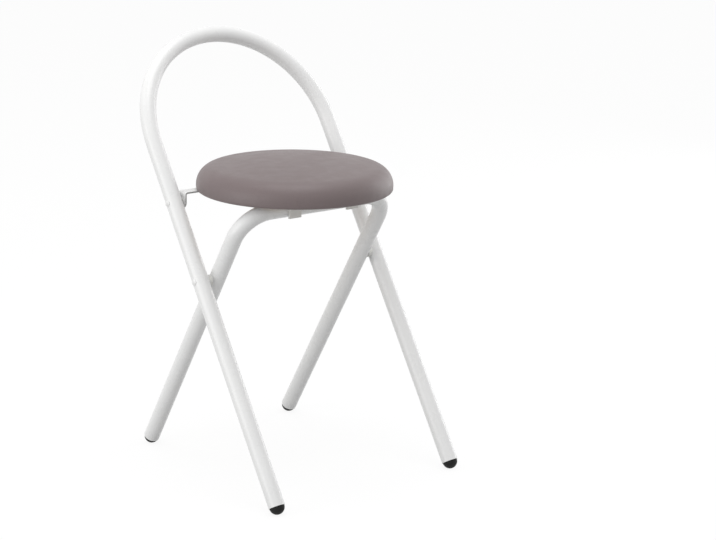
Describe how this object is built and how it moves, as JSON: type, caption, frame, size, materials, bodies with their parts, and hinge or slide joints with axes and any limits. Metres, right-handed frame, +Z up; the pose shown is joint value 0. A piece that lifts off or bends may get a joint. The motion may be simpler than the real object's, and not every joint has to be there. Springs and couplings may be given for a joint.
{
  "type": "folding stool",
  "caption": "Folding stool with a round padded seat and a hoop back frame; the seat flips up through the hoop and the legs scissor flat.",
  "frame": {"origin": "on the floor, under the middle of the open stool's bounding box", "axes": "+X across the stool towards its right-hand side in a front view, -Y towards the front, +Z up"},
  "size_m": [0.3646, 0.4298, 0.6534],
  "materials": {
    "frame_paint": "white stoving paint, satin gloss",
    "rivet_paint": "white enamel over steel",
    "washer_steel": "zinc plated",
    "screw_steel": "zinc plated",
    "staple_steel": "galvanised wire",
    "nylon": "natural nylon",
    "clip_plastic": "white moulded plastic",
    "foot_rubber": "black moulded rubber",
    "cover_vinyl": "taupe vinyl, fine grain, soft sheen",
    "pad_foam": "polyurethane foam",
    "board_plywood": "raw birch plywood"
  },
  "bodies": {
    "back_frame": {"back_frame_tube": "frame_paint", "front_foot_left": "foot_rubber", "front_foot_right": "foot_rubber", "leg_pivot_rivet_left": "rivet_paint", "leg_pivot_rivet_right": "rivet_paint", "leg_pivot_spacer_left": "nylon", "leg_pivot_spacer_right": "nylon", "seat_pivot_rivet_left": "rivet_paint", "seat_pivot_rivet_right": "rivet_paint", "seat_pivot_bush_left": "nylon", "seat_pivot_bush_right": "nylon", "seat_pivot_washer_left": "washer_steel", "seat_pivot_washer_right": "washer_steel"},
    "seat": {"seat_strap": "frame_paint", "seat_board": "board_plywood", "seat_foam": "pad_foam", "seat_cover": "cover_vinyl", "cover_staples": "staple_steel", "strap_screws": "screw_steel", "clip_screws": "screw_steel", "seat_clip_left": "clip_plastic", "seat_clip_right": "clip_plastic"},
    "leg_frame": {"leg_frame_tube": "frame_paint", "rear_foot_left": "foot_rubber", "rear_foot_right": "foot_rubber"}
  },
  "joints": [
    {"name": "seat_flip", "type": "hinge", "parent": "back_frame", "child": "seat", "pos_m": [0, 0.05778, 0.4165], "axis": [-1, 0, 0], "range_deg": [0, 122.8]},
    {"name": "leg_fold", "type": "hinge", "parent": "back_frame", "child": "leg_frame", "pos_m": [0, -0.01156, 0.30891], "axis": [-1, 0, 0], "range_deg": [0, 64]}
  ],
  "couplings": [
    {"joint": "leg_fold", "follows": "seat_flip", "ratio": 0.52117}
  ]
}
